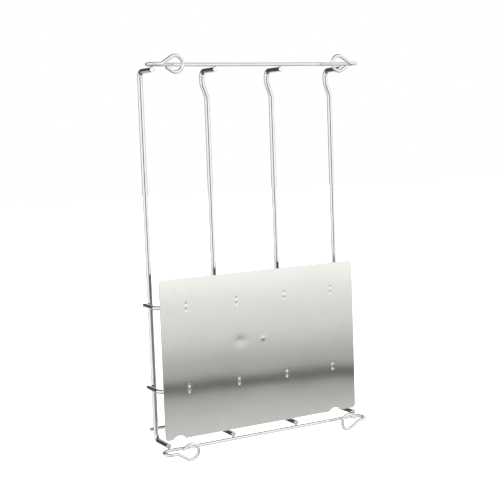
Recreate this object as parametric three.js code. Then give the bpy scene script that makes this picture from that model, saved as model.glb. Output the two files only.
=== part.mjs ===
// Wall-hung welded wire rack: four bent uprights, a top and a bottom rail whose ends are
// formed into hanging eyes, a cross rod behind the uprights, and a sheet metal plate
// carried near the wall by two bent carrier wires.
//
// Millimetres. X runs along the wall, Y points away from the wall, Z is up.
// The wall is the plane Y = 0, and the origin lies on it at the rack's centre height.

import * as THREE from 'three';

// Wire diameters, and the gap left between pieces that are welded together.
const uprightDia = 6;
const railDia = 4;
const carrierDia = 5;
const weldGap = 0.3;

// Uprights: lateral places, height between the axes of the two bent ends, and the small
// sideways jog that brings three of them under the top rail a little to the left.
const outerUprightX = 127.5;
const innerUprightX = 43.5;
const bentEndHeight = 425;
const uprightBendRadius = 7.5;
const jogWidth = 5.7;
const jogAngle = 20;
const jogRadius = 13;
const jogBelowTop = 12;

// Depths: the eyes touch the wall, the rails stand off by the turned-back ends, and the
// uprights stand behind the rails.
const turnBackRadius = 7.5;
const railToUpright = 35;

// Hanging eyes, one at each end of each rail. The bottom pair hangs a little lower than its
// rail, because its turned-back ends slope down towards the wall.
const leftEyeX = 106.5;
const rightEyeX = 109;
const bottomEyeDrop = 1.2;
const eyeRadius = 9;
const eyeNeckAngle = 33;
const eyeNeckRadius = 9;
const eyeTailLength = 7.5;
const turnBackX = 136.5;

// Rear cross rod.
const rodHalfLength = 132;
const rodAboveBottomEnd = 11.5;

// Sheet plate.
const sheetWidth = 262;
const sheetHeight = 185;
const sheetThickness = 1;
const sheetAboveBottomEnd = 5.5;
const sheetCornerRadius = 4.5;
const notchRadius = 10;
const notchCentreBelowEdge = 5.8;
const notchXs = [-113, 100.5];

// Carrier wires: heights above the bottom bent ends. Their arms stop flush with the
// uprights' rear.
const upperCarrierAbove = 158.7;
const lowerCarrierAbove = 62.5;
const carrierBendRadius = 8;

// Facets of a round wire, and the angle that one step of a bend turns through.
const wireSides = 12;
const bendStep = 18;

const xAxis = new THREE.Vector3(1, 0, 0);
const yAxis = new THREE.Vector3(0, 1, 0);
const zAxis = new THREE.Vector3(0, 0, 1);

// Worked-out places.
const topEndZ = bentEndHeight / 2;
const bottomEndZ = -bentEndHeight / 2;
const railContact = (uprightDia + railDia) / 2 + weldGap;
const topRailZ = topEndZ + railContact;
const bottomRailZ = bottomEndZ - railContact;
const eyeY = railDia / 2;
const railY = eyeY + 2 * turnBackRadius;
const uprightY = railY + railToUpright;
const tipY = railY;
const armEndY = uprightY + uprightDia / 2;
const rodY = uprightY + railContact;
const sheetFrontY = railY + railDia / 4;
const sheetBackY = sheetFrontY + sheetThickness;
const sheetBottomZ = bottomEndZ + sheetAboveBottomEnd;
const carrierY = sheetBackY + carrierDia / 2 + weldGap;
const armX = outerUprightX + (uprightDia + carrierDia) / 2 + weldGap;

const brightSteel = new THREE.MeshStandardMaterial({ color: 0xd9dadb, metalness: 1, roughness: 0.12 });
const satinSteel = new THREE.MeshStandardMaterial({ color: 0xc3c5c0, metalness: 1, roughness: 0.38 });

// A wire's centre line, made as a bender makes it: straight feeds and round bends.
// Its parameter counts the stations evenly, so straights take one step each.
class WirePath extends THREE.Curve {
  constructor(start, direction) {
    super();
    this.points = [start.clone()];
    this.tangents = [direction.clone()];
  }

  get steps() {
    return this.points.length - 1;
  }

  feed(length) {
    const tangent = this.tangents.at(-1);
    this.points.push(this.points.at(-1).clone().addScaledVector(tangent, length));
    this.tangents.push(tangent.clone());
    return this;
  }

  // Turns the wire by the right-hand rule about the axis.
  bend(radius, degrees, axis) {
    const start = this.points.at(-1);
    const tangent = this.tangents.at(-1);
    const toCentre = axis.clone().cross(tangent).multiplyScalar(radius * Math.sign(degrees));
    const centre = start.clone().add(toCentre);
    const count = Math.ceil(Math.abs(degrees) / bendStep);
    for (let i = 1; i <= count; i += 1) {
      const angle = THREE.MathUtils.degToRad((degrees * i) / count);
      this.points.push(toCentre.clone().negate().applyAxisAngle(axis, angle).add(centre));
      this.tangents.push(tangent.clone().applyAxisAngle(axis, angle));
    }
    return this;
  }

  // A whole wire from two halves that both run left from its middle: the right half is
  // mirrored and walked back from its end.
  static joined(leftHalf, rightHalf) {
    const flip = new THREE.Vector3(-1, 1, 1);
    const rightPoints = rightHalf.points.slice(1).map((point) => point.clone().multiply(flip));
    const rightTangents = rightHalf.tangents.slice(1).map((t) => t.clone().multiply(flip).negate());
    const whole = new WirePath(leftHalf.points[0], leftHalf.tangents[0]);
    whole.points = [...rightPoints.reverse(), ...leftHalf.points.slice(1)];
    whole.tangents = [...rightTangents.reverse(), ...leftHalf.tangents.slice(1)];
    return whole;
  }

  getUtoTmapping(u) {
    return u;
  }

  getPoint(t, target = new THREE.Vector3()) {
    return target.copy(this.points[Math.round(t * this.steps)]);
  }

  getTangent(t, target = new THREE.Vector3()) {
    return target.copy(this.tangents[Math.round(t * this.steps)]);
  }
}

// A round section whose flats lie on the wire's true surface.
function wireSection(diameter) {
  const cornerRadius = diameter / 2 / Math.cos(Math.PI / wireSides);
  const corners = [];
  for (let i = 0; i < wireSides; i += 1) {
    const angle = ((i + 0.5) * 2 * Math.PI) / wireSides;
    corners.push(new THREE.Vector2(cornerRadius * Math.cos(angle), cornerRadius * Math.sin(angle)));
  }
  return new THREE.Shape(corners);
}

function wire(name, path, diameter) {
  const settings = { steps: path.steps, extrudePath: path };
  const mesh = new THREE.Mesh(new THREE.ExtrudeGeometry(wireSection(diameter), settings), brightSteel);
  mesh.name = name;
  return mesh;
}

// An upright starts at its bottom tip on the bottom rail, runs back, up, and forward again.
function upright(name, x, jog) {
  const legLength = uprightY - uprightBendRadius - tipY;
  const jogRadians = THREE.MathUtils.degToRad(jogAngle);
  const jogHeight = 2 * jogRadius * Math.sin(jogRadians) + jogStraight(jogRadians) * Math.cos(jogRadians);
  const straightHeight = bentEndHeight - 2 * uprightBendRadius;
  const path = new WirePath(new THREE.Vector3(x, tipY, bottomEndZ), yAxis);
  path.feed(legLength).bend(uprightBendRadius, 90, xAxis);
  if (jog) {
    const above = jogBelowTop - uprightBendRadius;
    path.feed(straightHeight - above - jogHeight);
    path.bend(jogRadius, -jogAngle, yAxis).feed(jogStraight(jogRadians)).bend(jogRadius, jogAngle, yAxis);
    path.feed(above);
  } else {
    path.feed(straightHeight);
  }
  path.bend(uprightBendRadius, 90, xAxis).feed(legLength);
  return wire(name, path, uprightDia);
}

// The straight between the jog's two bends, so that the jog is as wide as it should be.
function jogStraight(jogRadians) {
  const widthInBends = 2 * jogRadius * (1 - Math.cos(jogRadians));
  return (jogWidth - widthInBends) / Math.sin(jogRadians);
}

// Half a rail runs left from its middle, turns back towards the wall, and closes into an
// eye. side is 1 where the eye's wire first rises, and -1 where it first falls.
function railHalf(z, side, eyeX, eyeDrop) {
  const slope = Math.atan2(eyeDrop, 2 * turnBackRadius);
  const turnAxis = zAxis.clone().applyAxisAngle(xAxis, slope);
  const neck = THREE.MathUtils.degToRad(eyeNeckAngle);
  const turnCentreX = turnBackX - turnBackRadius;
  const neckX = eyeX + eyeRadius / Math.sin(neck);
  const neckTrim = eyeNeckRadius * Math.tan(neck / 2);
  const slopeLength = eyeRadius / Math.tan(neck) - neckTrim;
  const legLength = turnCentreX - neckX - neckTrim;
  const half = new WirePath(new THREE.Vector3(0, railY, z), xAxis.clone().negate());
  half.feed(turnCentreX).bend(turnBackRadius / Math.cos(slope), 180, turnAxis).feed(legLength);
  half.bend(eyeNeckRadius, -side * eyeNeckAngle, yAxis).feed(slopeLength);
  half.bend(eyeRadius, side * (180 + 2 * eyeNeckAngle), yAxis).feed(eyeTailLength);
  return half;
}

function rail(name, z, side, eyeDrop) {
  const leftHalf = railHalf(z, side, leftEyeX, eyeDrop);
  const rightHalf = railHalf(z, side, rightEyeX, eyeDrop);
  return wire(name, WirePath.joined(leftHalf, rightHalf), railDia);
}

function rearCrossRod() {
  const start = new THREE.Vector3(-rodHalfLength, rodY, bottomEndZ + rodAboveBottomEnd);
  return wire('rear_cross_rod', new WirePath(start, xAxis).feed(2 * rodHalfLength), railDia);
}

// A carrier's half runs left behind the sheet and turns back along the outer upright.
function carrierWire(name, aboveBottomEnd) {
  const start = new THREE.Vector3(0, carrierY, bottomEndZ + aboveBottomEnd);
  const half = new WirePath(start, xAxis.clone().negate());
  half.feed(armX - carrierBendRadius).bend(carrierBendRadius, -90, zAxis);
  half.feed(armEndY - carrierY - carrierBendRadius);
  return wire(name, WirePath.joined(half, half), carrierDia);
}

// The plate's outline has round corners and two round notches in its bottom edge.
function sheetPlate() {
  const halfWidth = sheetWidth / 2;
  const r = sheetCornerRadius;
  const notchReach = Math.asin(notchCentreBelowEdge / notchRadius);
  const outline = new THREE.Shape();
  outline.moveTo(-halfWidth, r);
  outline.absarc(-halfWidth + r, r, r, Math.PI, 1.5 * Math.PI);
  for (const x of notchXs) {
    outline.absarc(x, -notchCentreBelowEdge, notchRadius, Math.PI - notchReach, notchReach, true);
  }
  outline.absarc(halfWidth - r, r, r, 1.5 * Math.PI, 2 * Math.PI);
  outline.absarc(halfWidth - r, sheetHeight - r, r, 0, 0.5 * Math.PI);
  outline.absarc(-halfWidth + r, sheetHeight - r, r, 0.5 * Math.PI, Math.PI);
  const settings = { depth: sheetThickness, bevelEnabled: false, curveSegments: 8 };
  const mesh = new THREE.Mesh(new THREE.ExtrudeGeometry(outline, settings), satinSteel);
  mesh.name = 'sheet_plate';
  mesh.rotation.x = Math.PI / 2;
  mesh.position.set(0, sheetBackY, sheetBottomZ);
  return mesh;
}

const rack = new THREE.Group();
rack.add(upright('upright_1', -outerUprightX, false));
rack.add(upright('upright_2', -innerUprightX, true));
rack.add(upright('upright_3', innerUprightX, true));
rack.add(upright('upright_4', outerUprightX, true));
rack.add(rail('top_rail', topRailZ, 1, 0));
rack.add(rail('bottom_rail', bottomRailZ, -1, bottomEyeDrop));
rack.add(rearCrossRod());
rack.add(carrierWire('upper_carrier_wire', upperCarrierAbove));
rack.add(carrierWire('lower_carrier_wire', lowerCarrierAbove));
rack.add(sheetPlate());

export default rack;
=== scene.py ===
import math

import bpy
from mathutils import Matrix, Quaternion, Vector, geometry, noise


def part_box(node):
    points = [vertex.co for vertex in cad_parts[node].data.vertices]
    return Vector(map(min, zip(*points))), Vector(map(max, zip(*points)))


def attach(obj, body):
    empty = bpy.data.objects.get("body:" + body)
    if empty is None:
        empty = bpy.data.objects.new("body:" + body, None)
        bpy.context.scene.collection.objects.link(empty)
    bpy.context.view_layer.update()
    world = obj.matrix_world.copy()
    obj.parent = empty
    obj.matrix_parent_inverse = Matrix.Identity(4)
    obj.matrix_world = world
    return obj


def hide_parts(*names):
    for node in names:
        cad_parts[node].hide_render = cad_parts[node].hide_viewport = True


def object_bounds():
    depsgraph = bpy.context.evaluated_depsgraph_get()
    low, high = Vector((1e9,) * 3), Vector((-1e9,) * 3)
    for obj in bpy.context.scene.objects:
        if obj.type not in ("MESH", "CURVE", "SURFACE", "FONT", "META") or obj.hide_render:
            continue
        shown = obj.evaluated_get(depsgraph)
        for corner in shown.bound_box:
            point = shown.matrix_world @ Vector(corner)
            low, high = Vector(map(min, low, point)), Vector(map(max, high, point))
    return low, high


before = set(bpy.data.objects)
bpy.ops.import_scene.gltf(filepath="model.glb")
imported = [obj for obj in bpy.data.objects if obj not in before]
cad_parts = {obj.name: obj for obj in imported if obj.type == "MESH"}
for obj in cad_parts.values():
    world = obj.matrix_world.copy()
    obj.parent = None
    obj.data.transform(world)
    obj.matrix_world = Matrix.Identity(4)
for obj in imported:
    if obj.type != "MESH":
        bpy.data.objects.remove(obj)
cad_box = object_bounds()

# Wall-hung welded wire rack: four bent uprights between two rails with hanging eyes, a rear
# cross rod, and a satin sheet plate welded to two carrier wires. The wall is the plane Y = 0
# and the rack's wall side faces -Y. Lengths below are millimetres unless they say otherwise.
MM = 0.001
AXIS_X = Vector((1, 0, 0))
AXIS_Y = Vector((0, 1, 0))
AXIS_Z = Vector((0, 0, 1))

# Wire sizes and the bender's settings.
UPRIGHT_DIA = 6
RAIL_DIA = 4
CARRIER_DIA = 5
UPRIGHT_BEND = 7.5
JOG_WIDTH = 5.7
JOG_ANGLE = 20
JOG_RADIUS = 13
JOG_BELOW_TOP = 12
TURN_BACK_X = 136.5
TURN_BACK_RADIUS = 7.5
LEFT_EYE_X = 106.5
RIGHT_EYE_X = 109
BOTTOM_EYE_DROP = 1.2
EYE_RADIUS = 9
EYE_NECK_ANGLE = 33
EYE_NECK_RADIUS = 9
EYE_TAIL = 7.5
CARRIER_BEND = 8

# How finely a wire is drawn: sides round it, longest straight step, degrees of a bend step.
WIRE_SIDES = 32
FEED_STEP = 6
BEND_STEP = 5

# A sheared wire end is flat and slightly rounded over at its edge: distance from the end, share
# of the radius.
CUT_END = [(0, 0.82), (0, 0.90), (0.10, 0.96), (0.25, 0.99), (0.5, 1.0)]
# The wire's own rings start this far from its ends.
END_CLEAR = 0.75
# Formed wire is never quite straight: it sways this far, over this length.
SWAY = 0.10
SWAY_LENGTH = 55
# Shifts the second direction's sway away from the first's.
SWAY_SHIFT = Vector((0, 7.3, 0))


# ---------------------------------------------------------------- meshes


def show_piece(name, mesh, material, slot, *nodes):
    """Puts a finished mesh in the scene as a piece of the rack. A wire or the plate stands for
    its CAD node, and a weld stands for none."""
    piece = bpy.data.objects.new(name, mesh)
    bpy.context.scene.collection.objects.link(piece)
    mesh.materials.append(material)
    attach(piece, "root")
    if nodes:
        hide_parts(*nodes)


def mesh_from(name, points, faces, sharp_degrees=40):
    """A smooth-shaded mesh in metres, with an edge wherever it turns by more than sharp_degrees."""
    mesh = bpy.data.meshes.new(name)
    mesh.from_pydata([Vector(p) * MM for p in points], [], faces)
    mesh.validate()
    mesh.polygons.foreach_set("use_smooth", [True] * len(mesh.polygons))
    mesh.set_sharp_from_angle(angle=math.radians(sharp_degrees))
    return mesh


class WirePath:
    """A wire's centre line, made as a bender makes it: straight feeds and round bends."""

    def __init__(self, start, direction):
        self.points = [Vector(start)]
        self.tangents = [Vector(direction)]
        self.strain = [0.0]

    def feed(self, length):
        """Runs the wire straight on."""
        start = self.points[-1]
        tangent = self.tangents[-1]
        steps = max(1, round(length / FEED_STEP))
        for i in range(1, steps + 1):
            self.points.append(start + tangent * (length * i / steps))
            self.tangents.append(tangent.copy())
            self.strain.append(0.0)
        return self

    def bend(self, radius, degrees, axis):
        """Turns the wire by the right-hand rule about the axis."""
        start = self.points[-1]
        tangent = self.tangents[-1]
        to_centre = axis.cross(tangent) * math.copysign(radius, degrees)
        steps = max(2, math.ceil(abs(degrees) / BEND_STEP))
        for i in range(1, steps + 1):
            turn = Quaternion(axis, math.radians(degrees * i / steps))
            self.points.append(start + to_centre - turn @ to_centre)
            self.tangents.append(turn @ tangent)
            self.strain.append(1.0)
        return self

    def joined_to(self, right_half):
        """A whole wire from two halves that both run left from its middle, the right mirrored."""
        whole = WirePath(self.points[0], self.tangents[0])
        flipped = [Vector((-p.x, p.y, p.z)) for p in right_half.points[:0:-1]]
        flipped_tangents = [Vector((t.x, -t.y, -t.z)) for t in right_half.tangents[:0:-1]]
        whole.points = flipped + self.points
        whole.tangents = flipped_tangents + self.tangents
        whole.strain = right_half.strain[:0:-1] + self.strain
        return whole


def swept_wire(name, path, diameter, seed):
    """A round wire along the path, with sheared ends. Each point keeps its place on the wire
    as an attribute: how far along, and its offset from the centre line, so that drawing marks
    follow the wire round every bend. The seed gives the wire its own marks and sway."""
    radius = diameter / 2
    stations = []
    along = 0.0
    for i, point in enumerate(path.points):
        if i > 0:
            along += (point - path.points[i - 1]).length
        stations.append((point, path.tangents[i], along, path.strain[i], 1.0))
    length = along
    first, last = stations[0], stations[-1]
    inner = [s for s in stations if END_CLEAR < s[2] < length - END_CLEAR]
    start_rings = [(first[0] + first[1] * d, first[1], d, 0.0, share) for d, share in CUT_END]
    end_rings = [(last[0] - last[1] * d, last[1], length - d, 0.0, share) for d, share in CUT_END]
    stations = start_rings + inner + end_rings[::-1]

    points = []
    wire_coord = []
    strain = []
    normal = stations[0][1].orthogonal().normalized()
    previous = stations[0][1]
    for centre, tangent, along, bent, share in stations:
        normal = previous.rotation_difference(tangent) @ normal
        normal = (normal - tangent * normal.dot(tangent)).normalized()
        previous = tangent
        binormal = tangent.cross(normal)
        fade = min(1.0, along / SWAY_LENGTH, (length - along) / SWAY_LENGTH) * (1.0 - bent)
        at = Vector((along / SWAY_LENGTH, seed, 0.5))
        sway = normal * noise.noise(at) + binormal * noise.noise(at + SWAY_SHIFT)
        centre = centre + sway * SWAY * fade
        for k in range(WIRE_SIDES):
            angle = 2 * math.pi * k / WIRE_SIDES
            across = math.cos(angle)
            up = math.sin(angle)
            points.append(centre + (normal * across + binormal * up) * radius * share)
            wire_coord += [along * MM, across * radius * MM + seed, up * radius * MM]
            strain.append(bent)

    faces = []
    for i in range(len(stations) - 1):
        for k in range(WIRE_SIDES):
            a = i * WIRE_SIDES + k
            b = i * WIRE_SIDES + (k + 1) % WIRE_SIDES
            faces.append((a, b, b + WIRE_SIDES, a + WIRE_SIDES))
    # The flat cut faces.
    for ring, outward in ((0, -1), (len(stations) - 1, 1)):
        centre = stations[ring][0]
        points.append(centre)
        middle = len(points) - 1
        wire_coord += [stations[ring][2] * MM, seed, 0.0]
        strain.append(0.0)
        for k in range(WIRE_SIDES):
            a = ring * WIRE_SIDES + k
            b = ring * WIRE_SIDES + (k + 1) % WIRE_SIDES
            faces.append((a, b, middle) if outward > 0 else (b, a, middle))

    mesh = mesh_from(name, points, faces)
    places = mesh.attributes.new("wire_coord", "FLOAT_VECTOR", "POINT")
    places.data.foreach_set("vector", wire_coord)
    strains = mesh.attributes.new("bend_strain", "FLOAT", "POINT")
    strains.data.foreach_set("value", strain)
    return mesh


# ---------------------------------------------------------------- colours and nodes


def srgb(code, alpha=1.0):
    """An sRGB hex colour as the linear colour that a shader wants."""
    shares = [int(code[i : i + 2], 16) / 255 for i in (1, 3, 5)]
    linear = [c / 12.92 if c <= 0.04045 else ((c + 0.055) / 1.055) ** 2.4 for c in shares]
    return (*linear, alpha)


def node(tree, kind, settings=None, links=None):
    """Adds a node, gives it its settings and socket values, and links sources to its sockets."""
    made = tree.nodes.new(kind)
    for name, value in (settings or {}).items():
        if isinstance(name, int) or name in made.inputs:
            made.inputs[name].default_value = value
        else:
            setattr(made, name, value)
    for socket, source in (links or {}).items():
        tree.links.new(source, made.inputs[socket])
    return made


def new_material(name):
    """An empty material and its node tree."""
    material = bpy.data.materials.new(name)
    material.use_nodes = True
    tree = material.node_tree
    tree.nodes.clear()
    return material, tree


def bright_drawn_stainless():
    """Drawn and electropolished stainless wire: a bright mirror skin in which the room shows as
    long clean lines, with drawing marks along the wire, and a duller skin where it was bent."""
    material, tree = new_material("bright_drawn_stainless_wire")
    place = node(tree, "ShaderNodeAttribute", {"attribute_name": "wire_coord"})
    bent = node(tree, "ShaderNodeAttribute", {"attribute_name": "bend_strain"})
    # Drawing marks are about 0.02 mm apart: drawn here at 0.5 mm, so that they show, and 30
    # times longer than wide.
    stretched = node(
        tree,
        "ShaderNodeMapping",
        {"Scale": (1 / 0.015, 1 / 0.0005, 1 / 0.0005)},
        {"Vector": place.outputs["Vector"]},
    )
    marks = node(
        tree,
        "ShaderNodeTexNoise",
        {"Scale": 1.0, "Detail": 3.0, "Roughness": 0.6},
        {"Vector": stretched.outputs[0]},
    )
    # Polishing leaves clouds about 9 mm long.
    clouds = node(
        tree,
        "ShaderNodeTexNoise",
        {"Scale": 1 / 0.009, "Detail": 4.0, "Roughness": 0.55},
        {"Vector": place.outputs["Vector"]},
    )
    # Bent skin pebbles into grains of about 0.3 mm: drawn here at 0.6 mm, so that they show.
    grains = node(
        tree,
        "ShaderNodeTexNoise",
        {"Scale": 1 / 0.0006, "Detail": 2.0},
        {"Vector": place.outputs["Vector"]},
    )
    colour = node(
        tree,
        "ShaderNodeMix",
        {"data_type": "RGBA", 6: srgb("#CDCFCF"), 7: srgb("#BDBFBE")},
        {0: clouds.outputs["Fac"]},
    )
    base_roughness = node(
        tree,
        "ShaderNodeMapRange",
        {"From Min": 0.3, "From Max": 0.75, "To Min": 0.07, "To Max": 0.13},
        {"Value": clouds.outputs["Fac"]},
    )
    roughness = node(
        tree,
        "ShaderNodeMath",
        {"operation": "MULTIPLY_ADD", 1: 0.05},
        {0: bent.outputs["Fac"], 2: base_roughness.outputs[0]},
    )
    mark_bump = node(
        tree,
        "ShaderNodeBump",
        {"Strength": 0.04, "Distance": 0.00004},
        {"Height": marks.outputs["Fac"]},
    )
    grain_height = node(
        tree,
        "ShaderNodeMath",
        {"operation": "MULTIPLY"},
        {0: grains.outputs["Fac"], 1: bent.outputs["Fac"]},
    )
    bump = node(
        tree,
        "ShaderNodeBump",
        {"Strength": 0.05, "Distance": 0.00005},
        {"Height": grain_height.outputs[0], "Normal": mark_bump.outputs[0]},
    )
    shader = node(
        tree,
        "ShaderNodeBsdfPrincipled",
        {"Metallic": 1.0},
        {"Base Color": colour.outputs[2], "Roughness": roughness.outputs[0], "Normal": bump.outputs[0]},
    )
    node(tree, "ShaderNodeOutputMaterial", {}, {"Surface": shader.outputs[0]})
    return material


def pickled_weld_bead():
    """Stainless weld metal after pickling: greyer and duller than the wire, in fine ripples."""
    material, tree = new_material("pickled_stainless_weld")
    place = node(tree, "ShaderNodeTexCoord")
    # Weld ripples are about 0.5 mm apart: drawn here at 0.8 mm, so that they show.
    ripples = node(
        tree,
        "ShaderNodeTexNoise",
        {"Scale": 1 / 0.0008, "Detail": 3.0, "Roughness": 0.6},
        {"Vector": place.outputs["Object"]},
    )
    colour = node(
        tree,
        "ShaderNodeMix",
        {"data_type": "RGBA", 6: srgb("#C2C2BF"), 7: srgb("#A5A49F")},
        {0: ripples.outputs["Fac"]},
    )
    roughness = node(
        tree,
        "ShaderNodeMapRange",
        {"From Min": 0.3, "From Max": 0.7, "To Min": 0.18, "To Max": 0.34},
        {"Value": ripples.outputs["Fac"]},
    )
    bump = node(
        tree,
        "ShaderNodeBump",
        {"Strength": 0.35, "Distance": 0.00015},
        {"Height": ripples.outputs["Fac"]},
    )
    shader = node(
        tree,
        "ShaderNodeBsdfPrincipled",
        {"Metallic": 1.0},
        {"Base Color": colour.outputs[2], "Roughness": roughness.outputs[0], "Normal": bump.outputs[0]},
    )
    node(tree, "ShaderNodeOutputMaterial", {}, {"Surface": shader.outputs[0]})
    return material


def satin_rolled_stainless():
    """Cold-rolled stainless sheet: a soft grey sheen that blurs the room into bands, with a fine
    grain along the rolling direction, faint handling clouds and pinpoint pits."""
    material, tree = new_material("satin_rolled_stainless_sheet")
    place = node(tree, "ShaderNodeTexCoord")
    # Rolling grain is about 0.05 mm wide: drawn here at 0.7 mm and 30 mm long, so that it shows.
    stretched = node(
        tree,
        "ShaderNodeMapping",
        {"Scale": (1 / 0.03, 1 / 0.0007, 1 / 0.0007)},
        {"Vector": place.outputs["Object"]},
    )
    grain = node(
        tree,
        "ShaderNodeTexNoise",
        {"Scale": 1.0, "Detail": 4.0, "Roughness": 0.6},
        {"Vector": stretched.outputs[0]},
    )
    # Handling clouds are 20 to 30 mm across.
    clouds = node(
        tree,
        "ShaderNodeTexNoise",
        {"Scale": 1 / 0.026, "Detail": 4.0, "Roughness": 0.6},
        {"Vector": place.outputs["Object"]},
    )
    # The rolled skin's pits are about 0.1 mm: drawn here at 1 mm, so that they show.
    pits = node(
        tree,
        "ShaderNodeTexNoise",
        {"Scale": 1 / 0.0011, "Detail": 2.0, "Roughness": 0.7},
        {"Vector": place.outputs["Object"]},
    )
    cloud_tone = node(
        tree,
        "ShaderNodeMix",
        {"data_type": "RGBA", 6: srgb("#C9CAC5"), 7: srgb("#C2C3BE")},
        {0: clouds.outputs["Fac"]},
    )
    pit_share = node(
        tree,
        "ShaderNodeMapRange",
        {"From Min": 0.35, "From Max": 0.7, "To Min": 0.0, "To Max": 0.30},
        {"Value": pits.outputs["Fac"]},
    )
    colour = node(
        tree,
        "ShaderNodeMix",
        {"data_type": "RGBA", 7: srgb("#B4B5B0")},
        {0: pit_share.outputs[0], 6: cloud_tone.outputs[2]},
    )
    roughness = node(
        tree,
        "ShaderNodeMapRange",
        {"From Min": 0.25, "From Max": 0.75, "To Min": 0.046, "To Max": 0.056},
        {"Value": clouds.outputs["Fac"]},
    )
    bump = node(
        tree,
        "ShaderNodeBump",
        {"Strength": 0.10, "Distance": 0.00002},
        {"Height": grain.outputs["Fac"]},
    )
    shader = node(
        tree,
        "ShaderNodeBsdfPrincipled",
        {"Metallic": 1.0},
        {"Base Color": colour.outputs[2], "Roughness": roughness.outputs[0], "Normal": bump.outputs[0]},
    )
    node(tree, "ShaderNodeOutputMaterial", {}, {"Surface": shader.outputs[0]})
    return material


WIRE = bright_drawn_stainless()
WELD = pickled_weld_bead()
SATIN = satin_rolled_stainless()


# ---------------------------------------------------------------- wires


def in_mm(name):
    """A CAD node's lowest and highest corner."""
    low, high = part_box(name)
    return low / MM, high / MM


def upright(name, jog, seed):
    """An upright starts at its bottom tip on the bottom rail, runs away from the wall, up, and
    back to the top rail. Returns where it stands."""
    low, high = in_mm(name)
    radius = UPRIGHT_DIA / 2
    x = high.x - radius if jog else low.x + radius
    bottom, top = low.z + radius, high.z - radius
    leg = high.y - radius - UPRIGHT_BEND - low.y
    angle = math.radians(JOG_ANGLE)
    jog_straight = (JOG_WIDTH - 2 * JOG_RADIUS * (1 - math.cos(angle))) / math.sin(angle)
    jog_height = 2 * JOG_RADIUS * math.sin(angle) + jog_straight * math.cos(angle)
    straight = top - bottom - 2 * UPRIGHT_BEND
    path = WirePath((x, low.y, bottom), AXIS_Y)
    path.feed(leg).bend(UPRIGHT_BEND, 90, AXIS_X)
    if jog:
        above = JOG_BELOW_TOP - UPRIGHT_BEND
        path.feed(straight - above - jog_height)
        path.bend(JOG_RADIUS, -JOG_ANGLE, AXIS_Y).feed(jog_straight).bend(JOG_RADIUS, JOG_ANGLE, AXIS_Y)
        path.feed(above)
    else:
        path.feed(straight)
    path.bend(UPRIGHT_BEND, 90, AXIS_X).feed(leg)
    wire = swept_wire(name, path, UPRIGHT_DIA, seed)
    show_piece(name + "_wire", wire, WIRE, "bright_wire", name)
    return x


def rail_half(rail_y, z, side, eye_x, drop):
    """Half a rail runs left from its middle, turns back towards the wall, and closes into an
    eye. side is 1 where the eye's wire first rises, and -1 where it first falls."""
    slope = math.atan2(drop, 2 * TURN_BACK_RADIUS)
    turn_axis = Quaternion(AXIS_X, slope) @ AXIS_Z
    neck = math.radians(EYE_NECK_ANGLE)
    turn_centre_x = TURN_BACK_X - TURN_BACK_RADIUS
    neck_x = eye_x + EYE_RADIUS / math.sin(neck)
    neck_trim = EYE_NECK_RADIUS * math.tan(neck / 2)
    half = WirePath((0, rail_y, z), -AXIS_X)
    half.feed(turn_centre_x).bend(TURN_BACK_RADIUS / math.cos(slope), 180, turn_axis)
    half.feed(turn_centre_x - neck_x - neck_trim)
    half.bend(EYE_NECK_RADIUS, -side * EYE_NECK_ANGLE, AXIS_Y)
    half.feed(EYE_RADIUS / math.tan(neck) - neck_trim)
    half.bend(EYE_RADIUS, side * (180 + 2 * EYE_NECK_ANGLE), AXIS_Y).feed(EYE_TAIL)
    return half


def rail(name, rail_y, z, side, drop, seed):
    """A rail is one wire, turned back towards the wall at both ends and closed into two eyes."""
    left = rail_half(rail_y, z, side, LEFT_EYE_X, drop)
    right = rail_half(rail_y, z, side, RIGHT_EYE_X, drop)
    wire = swept_wire(name, left.joined_to(right), RAIL_DIA, seed)
    show_piece(name + "_wire", wire, WIRE, "bright_wire", name)


def carrier(name, seed):
    """A carrier's half runs left behind the sheet and turns back along the outer upright."""
    low, high = in_mm(name)
    radius = CARRIER_DIA / 2
    arm_x = high.x - radius
    half = WirePath((0, low.y + radius, (low.z + high.z) / 2), -AXIS_X)
    half.feed(arm_x - CARRIER_BEND).bend(CARRIER_BEND, -90, AXIS_Z)
    half.feed(high.y - low.y - radius - CARRIER_BEND)
    wire = swept_wire(name, half.joined_to(half), CARRIER_DIA, seed)
    show_piece(name + "_bar", wire, WIRE, "bright_wire", name)


# The last number of each wire is its seed, which gives it drawing marks and a sway of its own.
uprights_x = [upright(f"upright_{i}", i > 1, i * 3.1) for i in (1, 2, 3, 4)]

upright_low, upright_high = in_mm("upright_1")
tip_y = upright_low.y
upright_y = upright_high.y - UPRIGHT_DIA / 2
tip_top_z = upright_high.z - UPRIGHT_DIA / 2
tip_bottom_z = upright_low.z + UPRIGHT_DIA / 2
sheet_low, sheet_high = in_mm("sheet_plate")
rod_low, rod_high = in_mm("rear_cross_rod")
upper_low, upper_high = in_mm("upper_carrier_wire")
lower_low, lower_high = in_mm("lower_carrier_wire")

WELD_GAP = rod_low.y - upright_high.y
RAIL_OFF_TIP = (UPRIGHT_DIA + RAIL_DIA) / 2 + WELD_GAP
rail("top_rail", tip_y, tip_top_z + RAIL_OFF_TIP, 1, 0, 17.7)
rail("bottom_rail", tip_y, tip_bottom_z - RAIL_OFF_TIP, -1, BOTTOM_EYE_DROP, 23.9)

rod_z = (rod_low.z + rod_high.z) / 2
rod_y = (rod_low.y + rod_high.y) / 2
rod_path = WirePath((rod_low.x, rod_y, rod_z), AXIS_X).feed(rod_high.x - rod_low.x)
rod = swept_wire("rear_cross_rod", rod_path, RAIL_DIA, 31.3)
show_piece("rear_cross_rod_wire", rod, WIRE, "bright_wire", "rear_cross_rod")

carrier("upper_carrier_wire", 37.1)
carrier("lower_carrier_wire", 41.9)
upper_row_z = (upper_low.z + upper_high.z) / 2
lower_row_z = (lower_low.z + lower_high.z) / 2


# ---------------------------------------------------------------- welds

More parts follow.
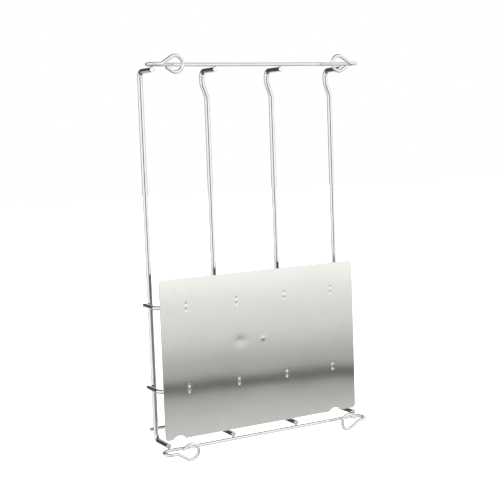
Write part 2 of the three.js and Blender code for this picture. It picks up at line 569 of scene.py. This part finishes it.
# How finely a bead is drawn: sides round it, steps up it.
BEAD_SIDES = 28
BEAD_STEPS = 6
# Shares of a bead's reach: how unevenly it spreads, and how far its waist curves in.
BEAD_WANDER = 0.16
BEAD_WANDER_SCALE = 1.3
BEAD_WAIST = 0.20
# How deep a bead's rims and middle lie inside the wires.
RIM_BITE = 0.15
MIDDLE_BITE = 0.1
# A rim stays inside the wire's half width by this share.
RIM_LIMIT = 0.97
# How finely a lump is drawn, how unevenly it swells, and on what scale.
LUMP_RINGS = 10
LUMP_SWELL = 0.22
LUMP_SWELL_SCALE = 1.4


class Lumps:
    """Gathers several weld lumps into one mesh."""

    def __init__(self):
        self.points = []
        self.faces = []

    def saddle(self, contact, along_a, along_b, radius_a, radius_b, reach, seed):
        """The fillet round the place where wire a crosses wire b. The normal points from a to
        b. The outside of the fillet curves in, and its two rims lie just inside the wires."""
        normal = along_a.cross(along_b).normalized()
        first = len(self.points)
        for step in range(BEAD_STEPS + 1):
            share = step / BEAD_STEPS
            for k in range(BEAD_SIDES):
                angle = 2 * math.pi * k / BEAD_SIDES
                wander_x = math.cos(angle) * BEAD_WANDER_SCALE
                wander_y = math.sin(angle) * BEAD_WANDER_SCALE
                wander = noise.noise(Vector((wander_x, wander_y, seed)))
                waist = 1 - BEAD_WAIST * 4 * share * (1 - share)
                out = reach * (1 + BEAD_WANDER * wander) * waist
                off_a = min(abs(out * math.sin(angle)), radius_a * RIM_LIMIT)
                off_b = min(abs(out * math.cos(angle)), radius_b * RIM_LIMIT)
                low = -WELD_GAP / 2 - radius_a + math.sqrt(radius_a**2 - off_a**2) - RIM_BITE
                high = WELD_GAP / 2 + radius_b - math.sqrt(radius_b**2 - off_b**2) + RIM_BITE
                flat = along_a * (out * math.cos(angle)) + along_b * (out * math.sin(angle))
                self.points.append(contact + flat + normal * (low + (high - low) * share))
        for step in range(BEAD_STEPS):
            for k in range(BEAD_SIDES):
                a = first + step * BEAD_SIDES + k
                b = first + step * BEAD_SIDES + (k + 1) % BEAD_SIDES
                self.faces.append((a, b, b + BEAD_SIDES, a + BEAD_SIDES))
        self.points.append(contact - normal * (WELD_GAP / 2 + MIDDLE_BITE))
        self.points.append(contact + normal * (WELD_GAP / 2 + MIDDLE_BITE))
        under, over = len(self.points) - 2, len(self.points) - 1
        top = first + BEAD_STEPS * BEAD_SIDES
        for k in range(BEAD_SIDES):
            after = (k + 1) % BEAD_SIDES
            self.faces.append((first + after, first + k, under))
            self.faces.append((top + k, top + after, over))

    def lump(self, centre, sizes, seed):
        """A small uneven mound of weld metal."""
        first = len(self.points)
        for i in range(1, LUMP_RINGS):
            polar = math.pi * i / LUMP_RINGS
            level = math.sin(polar)
            for k in range(BEAD_SIDES):
                angle = 2 * math.pi * k / BEAD_SIDES
                way = Vector((level * math.cos(angle), level * math.sin(angle), math.cos(polar)))
                swell = 1 + LUMP_SWELL * noise.noise(way * LUMP_SWELL_SCALE + AXIS_X * seed)
                self.points.append(centre + Vector([way[j] * sizes[j] * swell for j in range(3)]))
        for i in range(LUMP_RINGS - 2):
            for k in range(BEAD_SIDES):
                a = first + i * BEAD_SIDES + k
                b = first + i * BEAD_SIDES + (k + 1) % BEAD_SIDES
                self.faces.append((a, a + BEAD_SIDES, b + BEAD_SIDES, b))
        self.points.append(centre + Vector((0, 0, sizes[2])))
        self.points.append(centre - Vector((0, 0, sizes[2])))
        over, under = len(self.points) - 2, len(self.points) - 1
        last = first + (LUMP_RINGS - 2) * BEAD_SIDES
        for k in range(BEAD_SIDES):
            after = (k + 1) % BEAD_SIDES
            self.faces.append((first + k, first + after, over))
            self.faces.append((last + after, last + k, under))

    def show(self, name):
        """Puts the gathered lumps in the scene as one piece."""
        mesh = mesh_from(name, self.points, self.faces, sharp_degrees=60)
        show_piece(name, mesh, WELD, "bright_wire")


# The uprights' tips stop at the rails' centre line, so each tip's bead lies a little behind it.
TIP_SHIFT = 1.7
TIP_REACH = 1.5
ROD_REACH = 1.6
ARM_REACH = 1.9
UPRIGHT_RADIUS = UPRIGHT_DIA / 2
RAIL_RADIUS = RAIL_DIA / 2
CARRIER_RADIUS = CARRIER_DIA / 2
to_contact = UPRIGHT_RADIUS + WELD_GAP / 2

top_beads = Lumps()
bottom_beads = Lumps()
rod_beads = Lumps()
arm_beads = Lumps()
# The last number of each bead is its seed, which gives it a shape of its own.
for i, x in enumerate(uprights_x):
    top_x = x if i == 0 else x - JOG_WIDTH
    top_contact = Vector((top_x, tip_y + TIP_SHIFT, tip_top_z + to_contact))
    bottom_contact = Vector((x, tip_y + TIP_SHIFT, tip_bottom_z - to_contact))
    rod_contact = Vector((x, upright_y + to_contact, rod_z))
    top_beads.saddle(top_contact, AXIS_Y, -AXIS_X, UPRIGHT_RADIUS, RAIL_RADIUS, TIP_REACH, 5.0 + i)
    bottom_beads.saddle(bottom_contact, AXIS_X, AXIS_Y, RAIL_RADIUS, UPRIGHT_RADIUS, TIP_REACH, 9.0 + i)
    rod_beads.saddle(rod_contact, AXIS_Z, AXIS_X, UPRIGHT_RADIUS, RAIL_RADIUS, ROD_REACH, 13.0 + i)
for side, x in ((-1, uprights_x[0]), (1, uprights_x[3])):
    for z in (upper_row_z, lower_row_z):
        contact = Vector((x + side * to_contact, upright_y, z))
        seed = 17.0 + x + z
        up = AXIS_Z * side
        arm_beads.saddle(contact, AXIS_Y, up, UPRIGHT_RADIUS, CARRIER_RADIUS, ARM_REACH, seed)
top_beads.show("top_rail_weld_beads")
bottom_beads.show("bottom_rail_weld_beads")
rod_beads.show("rear_rod_weld_beads")
arm_beads.show("carrier_arm_weld_beads")

# The plate is tacked above and below each carrier wire in four places.
TACK_XS = (-98.25, -32.75, 32.75, 98.25)
TACK_OFF_PLATE = 0.55
TACK_OFF_WIRE = 2.35
TACK_SIZES = (1.9, 0.95, 1.25)
for row_z, row in ((upper_row_z, "upper"), (lower_row_z, "lower")):
    row_tacks = Lumps()
    for x in TACK_XS:
        for side in (-1, 1):
            centre = Vector((x, sheet_high.y + TACK_OFF_PLATE, row_z + side * TACK_OFF_WIRE))
            seed = x * 0.3 + side + row_z
            row_tacks.lump(centre, TACK_SIZES, seed)
    row_tacks.show(f"{row}_plate_tack_welds")


# ---------------------------------------------------------------- sheet plate

CORNER_RADIUS = 4.5
NOTCH_RADIUS = 10
NOTCH_DROP = 5.8
NOTCH_XS = (-113, 100.5)
EDGE_ROUND = 0.22
EDGE_MARGIN = 0.5
OUTLINE_STEP = 3.0
CORNER_STEPS = 8
NOTCH_STEPS = 16
# Long low waves in the thin sheet: how far, how wide and how high.
WAVE_DEPTH = 0.025
WAVE_WIDTH = 60
WAVE_HEIGHT = 45
# Dents and bumps: centre x and z, half width, half height, and depth into the plate.
DENT_WIDE = (-29, -103, 5.5, 4.2, 0.07)
DENT_PINCH = (-30.3, -101, 1.3, 1.6, 0.025)
BUMP_SMALL = (1.2, -103.4, 2.2, 1.5, -0.07)
# Each tack leaves a pair of upright pits in the plate's face, one above the other. A row of
# them has a height and a depth.
PIT_ROWS = ((upper_row_z - 1.0, 0.10), (lower_row_z + 0.7, 0.14))
PITS_APART = 6.5
PIT_HALF_WIDTH = 0.8
PIT_HALF_HEIGHT = 2.5
# A pit is nothing beyond this many half widths, and a dent beyond this exponent.
PIT_END = 5
DENT_END = 12
SCRATCH = (Vector((-112, -34)), Vector((-109, -46)))
SCRATCH_WIDTH = 0.5
SCRATCH_DEPTH = 0.03
# The grid of the face: its widest step, its distance from the outline's box, and the distance
# from the outline itself that its points keep.
GRID_STEP = 3.2
GRID_INSET = 1.4
GRID_CLEAR = 1.1
# The triangulation keeps what is inside the outline, and joins points nearer than this.
CDT_INSIDE = 1
CDT_NEAREST = 1e-5
# Where the grid is finer: centre, half width and step.
FINE_X = [(x, 2.4, 0.4) for x in TACK_XS] + [(-30, 14, 1.0), (0.7, 6, 0.6), (-110.5, 4, 0.5)]
FINE_Z = [(row_z, 7.5, 0.4) for row_z, _ in PIT_ROWS]
FINE_Z += [(-101, 14, 0.8), (-40, 7, 0.8), (lower_row_z, 26, 1.2)]


def mound(x, z, place):
    """How deep a round dent is at x and z."""
    centre_x, centre_z, half_width, half_height, depth = place
    far = (((x - centre_x) / half_width) ** 2 + ((z - centre_z) / half_height) ** 2) / 2
    return depth * math.exp(-far) if far < DENT_END else 0.0


def plate_bow(x, z):
    """How far the whole plate stands back from flat: thin sheet pulled about by its welds."""
    wave = WAVE_DEPTH * noise.noise(Vector((x / WAVE_WIDTH, z / WAVE_HEIGHT, 2.2)))
    return wave + mound(x, z, DENT_WIDE) + mound(x, z, DENT_PINCH) + mound(x, z, BUMP_SMALL)


def weld_dimples(x, z):
    """How deep the pits that the tacks leave in the plate's face are, and a faint scratch."""
    depth = 0.0
    for row_z, pit_depth in PIT_ROWS:
        for side in (-1, 1):
            off_z = abs(z - row_z - side * PITS_APART / 2) / PIT_HALF_HEIGHT
            for tack_x in TACK_XS:
                off_x = (x - tack_x) / PIT_HALF_WIDTH
                if off_z < 1 and abs(off_x) < PIT_END:
                    depth += pit_depth * (1 - off_z) * math.exp(-off_x * off_x / 2)
    start, end = SCRATCH
    share = geometry.intersect_point_line(Vector((x, z)), start, end)[1]
    share = min(1.0, max(0.0, share))
    off = (Vector((x, z)) - start.lerp(end, share)).length
    return depth + SCRATCH_DEPTH * math.exp(-((off / SCRATCH_WIDTH) ** 2))


def plate_outline(inset):
    """The plate's outline, anticlockwise from its lower left corner, moved in by inset."""
    left, right = sheet_low.x, sheet_high.x
    bottom, top = sheet_low.z, sheet_high.z
    points = []

    def arc(cx, cz, radius, start, end, steps):
        for i in range(steps + 1):
            angle = math.radians(start + (end - start) * i / steps)
            points.append((cx + radius * math.cos(angle), cz + radius * math.sin(angle)))

    def straight(ax, az, bx, bz):
        steps = max(1, round(math.hypot(bx - ax, bz - az) / OUTLINE_STEP))
        for i in range(1, steps):
            points.append((ax + (bx - ax) * i / steps, az + (bz - az) * i / steps))

    r = CORNER_RADIUS
    ri = r - inset
    notch = NOTCH_RADIUS + inset
    edge = bottom + inset
    reach = math.degrees(math.asin((NOTCH_DROP + inset) / notch))
    half_gap = notch * math.cos(math.radians(reach))
    arc(left + r, bottom + r, ri, 180, 270, CORNER_STEPS)
    previous = left + r
    for x in NOTCH_XS:
        straight(previous, edge, x - half_gap, edge)
        arc(x, bottom - NOTCH_DROP, notch, 180 - reach, reach, NOTCH_STEPS)
        previous = x + half_gap
    straight(previous, edge, right - r, edge)
    arc(right - r, bottom + r, ri, 270, 360, CORNER_STEPS)
    straight(right - inset, bottom + r, right - inset, top - r)
    arc(right - r, top - r, ri, 0, 90, CORNER_STEPS)
    straight(right - r, top - inset, left + r, top - inset)
    arc(left + r, top - r, ri, 90, 180, CORNER_STEPS)
    straight(left + inset, top - r, left + inset, bottom + r)
    return points


def in_notch(place, clear):
    """Whether a place (x, z) is in one of the notches, or nearer to it than clear."""
    x, z = place
    above = z - sheet_low.z + NOTCH_DROP
    return any(math.hypot(x - notch_x, above) < NOTCH_RADIUS + clear for notch_x in NOTCH_XS)


def graded(start, end, coarse, fine_places):
    """Grid lines from start to end: coarse, and finer inside each (centre, half width, step)."""
    lines = [start]
    while lines[-1] < end:
        here = lines[-1]
        step = coarse
        for centre, half, fine in fine_places:
            if abs(here + fine - centre) < half:
                step = min(step, fine)
            elif here < centre:
                step = min(step, max(fine, centre - half - here))
        lines.append(here + step)
    return lines[:-1]


def sheet_plate():
    """The thin satin plate, bowed and dented. Its face ends in a narrow flat margin before the
    rounded edge, so that it shades flat."""
    margin = plate_outline(EDGE_MARGIN)
    rim = plate_outline(EDGE_ROUND)
    outer = plate_outline(0)
    count = len(rim)
    grid_x = graded(sheet_low.x + GRID_INSET, sheet_high.x - GRID_INSET, GRID_STEP, FINE_X)
    grid_z = graded(sheet_low.z + GRID_INSET, sheet_high.z - GRID_INSET, GRID_STEP, FINE_Z)
    inner = []
    r = CORNER_RADIUS
    for x in grid_x:
        for z in grid_z:
            corner_x = max(0.0, abs(x) - (sheet_high.x - r))
            corner_z = max(0.0, sheet_low.z + r - z, z - (sheet_high.z - r))
            if math.hypot(corner_x, corner_z) > r - GRID_CLEAR:
                continue
            if not in_notch((x, z), GRID_CLEAR):
                inner.append((x, z))
    flat = [Vector(p) for p in margin + inner]
    edges = [(i, (i + 1) % count) for i in range(count)]
    # Triangles inside the outline. In a notch they are left out below.
    found = geometry.delaunay_2d_cdt(flat, edges, [], CDT_INSIDE, CDT_NEAREST, False)
    flat, triangles = found[0], found[2]

    points = []
    faces = []
    front, back = sheet_low.y, sheet_high.y
    for x, z in flat:
        points.append((x, front + plate_bow(x, z) + weld_dimples(x, z), z))
    behind = len(points)
    for x, z in flat:
        points.append((x, back + plate_bow(x, z), z))
    for triangle in triangles:
        a, b, c = triangle
        middle = (flat[a] + flat[b] + flat[c]) / 3
        if in_notch(middle, EDGE_MARGIN):
            continue
        turn = (flat[b] - flat[a]).cross(flat[c] - flat[a])
        if turn < 0:
            b, c = c, b
        faces.append((a, b, c))
        faces.append((behind + a, behind + c, behind + b))
    loops = [0]
    edge_loops = ((rim, front), (outer, front + EDGE_ROUND), (outer, back - EDGE_ROUND), (rim, back))
    for loop, y in edge_loops:
        loops.append(len(points))
        for x, z in loop:
            points.append((x, y + plate_bow(x, z), z))
    loops.append(behind)
    for near, far in zip(loops, loops[1:]):
        for i in range(count):
            j = (i + 1) % count
            faces.append((near + j, near + i, far + i, far + j))
    mesh = mesh_from("sheet_plate", points, faces, sharp_degrees=60)
    show_piece("satin_sheet_plate", mesh, SATIN, "satin_sheet", "sheet_plate")


sheet_plate()


# ---------------------------------------------------------------- studio


# The room is set out by the way that a reflected ray goes: x to the right, y away from the wall
# and z up, each from -1 to 1, and the few other ways that room_ways makes of them. A zone is a
# list of sides. A side names a way, and says where along it the zone starts and where it is
# full. A ray is in the zone when it is past every side.
FRONT_HALF = [("y", -0.35, -0.6)]
STRAIGHT_AHEAD = [("sideways", 0.24, 0.12), ("y", -0.6, -0.75)]
BEHIND_RACK = [("turned", -0.26, -0.10), ("x", -0.70, -0.58)]
FAR_RIGHT = [("x", 0.57, 0.68)]
LOW_BEHIND = [("y", 0.88, 0.905), ("z", -0.12, -0.17)]
WINDOW = [("z", 0.08, 0.16), ("z", 0.55, 0.47), ("x", 0.10, 0.20), ("y", 0.5, 0.6)]
LIT_FLOOR = [("z", -0.17, -0.30), ("x", -0.15, 0.02), ("y", 0.5, 0.6)]
PANEL_GAP = [("gap", 0.94, 0.988)]
STAND_FOOT = [("foot", 0.86, 0.93)]
GREY_FLOOR = [("z", -0.79, -0.85)]

# How strongly each zone lights or darkens the room. The panels' light grows from the first
# level to the second between these heights.
PANEL_HEIGHTS = (-0.5, 0.1)
PANEL_LEVELS = (1.45, 1.6)
AHEAD_DIMMING = 0.3
DARK_BEHIND = 0.09
LIGHTS_BEHIND = [(FAR_RIGHT, 0.55), (LOW_BEHIND, 0.65), (WINDOW, 1.3), (LIT_FLOOR, 1.1)]
DARK_PLACES = [(PANEL_GAP, 1.0), (STAND_FOOT, 0.85), (GREY_FLOOR, 0.4)]
DARKEST = 0.07

# The edge of the dark part behind the rack leans with height, and bends back past this x.
BEHIND_BEND_X = 0.48
BEHIND_BEND = -0.7
BEHIND_LEAN = 0.06

# The ways to the gap between two light panels and to the foot of the stand.
GAP_AZIMUTH = math.radians(-24)
GAP_WAY = Vector((math.sin(GAP_AZIMUTH), -math.cos(GAP_AZIMUTH), -0.03))
FOOT_WAY = Vector((-0.28, 0.12, -0.95)).normalized()

# The table in front, from below: the bright floor, the table's dark underside, its paler front,
# the thin dark line of its edge, and its top, lighter the farther back it is. Each stop is a
# height and a share of the table's light. The table tilts a little to one side.
TABLE_LOW = -0.45
TABLE_HIGH = 0.15
TABLE_TILT = -0.074
TABLE_SHIFT = -0.0216
TABLE_LIGHT = 1.7
TABLE_STOPS = [
    (-0.45, 1.0),
    (-0.43, 0.12),
    (-0.352, 0.12),
    (-0.325, 0.62),
    (-0.305, 0.52),
    (-0.292, 0.42),
    (-0.2838, 0.33),
    (-0.2816, 0.06),
    (-0.2758, 0.06),
    (-0.2728, 0.31),
    (-0.268, 0.40),
    (-0.258, 0.435),
    (-0.246, 0.555),
    (-0.2346, 0.65),
    (-0.2195, 0.72),
    (-0.205, 0.80),
    (-0.186, 0.95),
    (-0.12, 1.0),
]


def strongest_zone(tree, ways, zones):
    """The strength of the strongest zone that a ray is in, out of zones of (sides, strength)."""
    strongest = None
    for sides, strength in zones:
        inside = None
        for way, start, full in sides:
            side = node(
                tree,
                "ShaderNodeMapRange",
                {"interpolation_type": "SMOOTHSTEP", "From Min": start, "From Max": full},
                {"Value": ways[way]},
            )
            if inside is None:
                inside = side
            else:
                inside = node(
                    tree,
                    "ShaderNodeMath",
                    {"operation": "MULTIPLY"},
                    {0: inside.outputs[0], 1: side.outputs[0]},
                )
        level = node(
            tree, "ShaderNodeMath", {"operation": "MULTIPLY", 1: strength}, {0: inside.outputs[0]}
        )
        if strongest is None:
            strongest = level
        else:
            strongest = node(
                tree,
                "ShaderNodeMath",
                {"operation": "MAXIMUM"},
                {0: strongest.outputs[0], 1: level.outputs[0]},
            )
    return strongest.outputs[0]


def room_ways(tree):
    """The ways that the room is set out along, each by its name: x, y and z, how far to either
    side, y with the dark edge's bend and lean, and how nearly a ray meets the gap and the foot."""
    way = node(tree, "ShaderNodeTexCoord").outputs["Generated"]
    axes = node(tree, "ShaderNodeSeparateXYZ", {}, {0: way})
    ways = {"x": axes.outputs["X"], "y": axes.outputs["Y"], "z": axes.outputs["Z"]}
    sideways = node(tree, "ShaderNodeMath", {"operation": "ABSOLUTE"}, {0: ways["x"]})
    past_bend = node(
        tree, "ShaderNodeMath", {"operation": "SUBTRACT", 1: BEHIND_BEND_X}, {0: ways["x"]}
    )
    beyond = node(tree, "ShaderNodeMath", {"operation": "MAXIMUM", 1: 0.0}, {0: past_bend.outputs[0]})
    bent = node(
        tree,
        "ShaderNodeMath",
        {"operation": "MULTIPLY_ADD", 1: BEHIND_BEND},
        {0: beyond.outputs[0], 2: ways["y"]},
    )
    turned = node(
        tree,
        "ShaderNodeMath",
        {"operation": "MULTIPLY_ADD", 1: BEHIND_LEAN},
        {0: ways["z"], 2: bent.outputs[0]},
    )
    gap = node(tree, "ShaderNodeVectorMath", {"operation": "DOT_PRODUCT", 1: GAP_WAY}, {0: way})
    foot = node(tree, "ShaderNodeVectorMath", {"operation": "DOT_PRODUCT", 1: FOOT_WAY}, {0: way})
    ways["sideways"] = sideways.outputs[0]
    ways["turned"] = turned.outputs[0]
    ways["gap"] = gap.outputs["Value"]
    ways["foot"] = foot.outputs["Value"]
    return ways


def table_in_front(tree, ways):
    """The light of the table in front, by height."""
    tilted = node(
        tree,
        "ShaderNodeMath",
        {"operation": "MULTIPLY_ADD", 1: TABLE_TILT},
        {0: ways["x"], 2: ways["z"]},
    )
    shifted = node(
        tree, "ShaderNodeMath", {"operation": "ADD", 1: TABLE_SHIFT}, {0: tilted.outputs[0]}
    )
    height = node(
        tree,
        "ShaderNodeMapRange",
        {"From Min": TABLE_LOW, "From Max": TABLE_HIGH},
        {"Value": shifted.outputs[0]},
    )
    ramp = node(tree, "ShaderNodeValToRGB", {}, {"Fac": height.outputs[0]})
    elements = ramp.color_ramp.elements
    elements.remove(elements[1])
    for i, (place, share) in enumerate(TABLE_STOPS):
        spot = (place - TABLE_LOW) / (TABLE_HIGH - TABLE_LOW)
        element = elements[0] if i == 0 else elements.new(spot)
        element.position = spot
        element.color = (share, share, share, 1)
    light = node(
        tree,
        "ShaderNodeMath",
        {"operation": "MULTIPLY", 1: TABLE_LIGHT},
        {0: ramp.outputs["Color"]},
    )
    return light.outputs[0]


def studio_room():
    """The room that the metal reflects. It is lit all round, dark behind the rack except for a
    window and a lit floor, and has a dark gap at eye level on one side, a table in front and a
    dark foot below. The room itself isn't seen: it is white to the eye."""
    world = bpy.data.worlds.new("studio_room")
    bpy.context.scene.world = world
    world.use_nodes = True
    tree = world.node_tree
    tree.nodes.clear()
    ways = room_ways(tree)

    # Light panels above and at both sides, and the table in the front half.
    panels = node(
        tree,
        "ShaderNodeMapRange",
        {
            "interpolation_type": "SMOOTHSTEP",
            "From Min": PANEL_HEIGHTS[0],
            "From Max": PANEL_HEIGHTS[1],
            "To Min": PANEL_LEVELS[0],
            "To Max": PANEL_LEVELS[1],
        },
        {"Value": ways["z"]},
    )
    in_front = strongest_zone(tree, ways, [(FRONT_HALF, 1.0)])
    around = node(
        tree,
        "ShaderNodeMix",
        {"data_type": "FLOAT"},
        {0: in_front, 2: panels.outputs[0], 3: table_in_front(tree, ways)},
    )

    # Straight ahead the room is a little dimmer, so that the plate shows its marks from the front.
    dimming = strongest_zone(tree, ways, [(STRAIGHT_AHEAD, AHEAD_DIMMING)])
    ahead_share = node(tree, "ShaderNodeMath", {"operation": "SUBTRACT", 0: 1.0}, {1: dimming})
    ahead = node(
        tree,
        "ShaderNodeMath",
        {"operation": "MULTIPLY"},
        {0: around.outputs[0], 1: ahead_share.outputs[0]},
    )

    # Behind the rack it is dark, but not on the left, and it has lights of its own.
    behind = strongest_zone(tree, ways, [(BEHIND_RACK, 1.0)])
    lights = strongest_zone(tree, ways, LIGHTS_BEHIND)
    behind_level = node(tree, "ShaderNodeMath", {"operation": "ADD", 1: DARK_BEHIND}, {0: lights})
    lit = node(
        tree,
        "ShaderNodeMix",
        {"data_type": "FLOAT"},
        {0: behind, 2: ahead.outputs[0], 3: behind_level.outputs[0]},
    )
    dark = strongest_zone(tree, ways, DARK_PLACES)
    level = node(
        tree, "ShaderNodeMix", {"data_type": "FLOAT", 3: DARKEST}, {0: dark, 2: lit.outputs[0]}
    )

    seen = node(tree, "ShaderNodeLightPath")
    reflected = node(
        tree, "ShaderNodeBackground", {"Color": srgb("#FFFFFF")}, {"Strength": level.outputs[0]}
    )
    plain_white = node(tree, "ShaderNodeBackground", {"Color": srgb("#FFFFFF"), "Strength": 1.0})
    shown = node(
        tree,
        "ShaderNodeMixShader",
        {},
        {0: seen.outputs["Is Camera Ray"], 1: reflected.outputs[0], 2: plain_white.outputs[0]},
    )
    node(tree, "ShaderNodeOutputWorld", {}, {"Surface": shown.outputs[0]})


CAMERA_AZIMUTH = math.radians(-29.205)
CAMERA_ELEVATION = math.radians(6.109)
CAMERA_ROLL = math.radians(-2.057)
CAMERA_AIM = Vector((-22.22, 0, 5.23))
CAMERA_DISTANCE = 1280.4
LENS = 80
SENSOR = 36
# Metres.
CLIP_START = 0.05
CLIP_END = 100


def studio_camera():
    """The camera stands back from its aim along its azimuth and elevation, rolled a little."""
    level = math.cos(CAMERA_ELEVATION)
    back_x = math.sin(CAMERA_AZIMUTH) * level
    back_y = -math.cos(CAMERA_AZIMUTH) * level
    back = Vector((back_x, back_y, math.sin(CAMERA_ELEVATION)))
    right = (-back).cross(AXIS_Z).normalized()
    above = right.cross(-back)
    turn = Matrix((right, above, back)).transposed().to_4x4()
    camera_data = bpy.data.cameras.new("studio_camera")
    camera_data.lens = LENS
    camera_data.sensor_width = SENSOR
    camera_data.clip_start = CLIP_START
    camera_data.clip_end = CLIP_END
    camera = bpy.data.objects.new("studio_camera", camera_data)
    bpy.context.scene.collection.objects.link(camera)
    place = Matrix.Translation((CAMERA_AIM + back * CAMERA_DISTANCE) * MM)
    camera.matrix_world = place @ turn @ Matrix.Rotation(CAMERA_ROLL, 4, "Z")
    bpy.context.scene.camera = camera


FLOOR_HALF = 20000
FLOOR_BELOW = 900


def studio_floor():
    """White sweep paper on the floor of the studio, well below the hanging rack: an even matt
    white that gives off a little light, so that it never greys."""
    material, tree = new_material("white_sweep_paper")
    place = node(tree, "ShaderNodeTexCoord")
    # Paper fibres are about 0.03 mm wide: drawn here 2 mm apart, so that they show.
    fibres = node(
        tree,
        "ShaderNodeTexNoise",
        {"Scale": 1 / 0.002, "Detail": 3.0},
        {"Vector": place.outputs["Object"]},
    )
    colour = node(
        tree,
        "ShaderNodeMix",
        {"data_type": "RGBA", 6: srgb("#F8F8F6"), 7: srgb("#F2F2F0")},
        {0: fibres.outputs["Fac"]},
    )
    shader = node(
        tree,
        "ShaderNodeBsdfPrincipled",
        {"Roughness": 0.8, "Emission Color": srgb("#FFFFFF"), "Emission Strength": 1.0},
        {"Base Color": colour.outputs[2]},
    )
    node(tree, "ShaderNodeOutputMaterial", {}, {"Surface": shader.outputs[0]})
    z = cad_box[0].z / MM - FLOOR_BELOW
    corners = [(x * FLOOR_HALF, y * FLOOR_HALF, z) for x, y in ((-1, -1), (1, -1), (1, 1), (-1, 1))]
    mesh = mesh_from("studio_floor", corners, [(0, 1, 2, 3)])
    mesh.materials.append(material)
    floor = bpy.data.objects.new("studio_floor", mesh)
    bpy.context.scene.collection.objects.link(floor)
    floor.visible_glossy = False


def soft_light(name, place, aim, size, watts):
    """A square softbox, in metres, which the metal doesn't reflect."""
    light_data = bpy.data.lights.new(name, "AREA")
    light_data.shape = "SQUARE"
    light_data.size = size
    light_data.energy = watts
    light = bpy.data.objects.new(name, light_data)
    bpy.context.scene.collection.objects.link(light)
    light.location = place
    light.rotation_mode = "QUATERNION"
    light.rotation_quaternion = (Vector(aim) - Vector(place)).to_track_quat("-Z", "Y")
    light.visible_glossy = False


studio_room()
studio_camera()
studio_floor()
soft_light("overhead_softbox", place=(0.3, -0.6, 1.8), aim=(0, 0, -1), size=1.6, watts=40)

bpy.context.scene.view_settings.view_transform = "Standard"
bpy.context.scene.view_settings.look = "None"
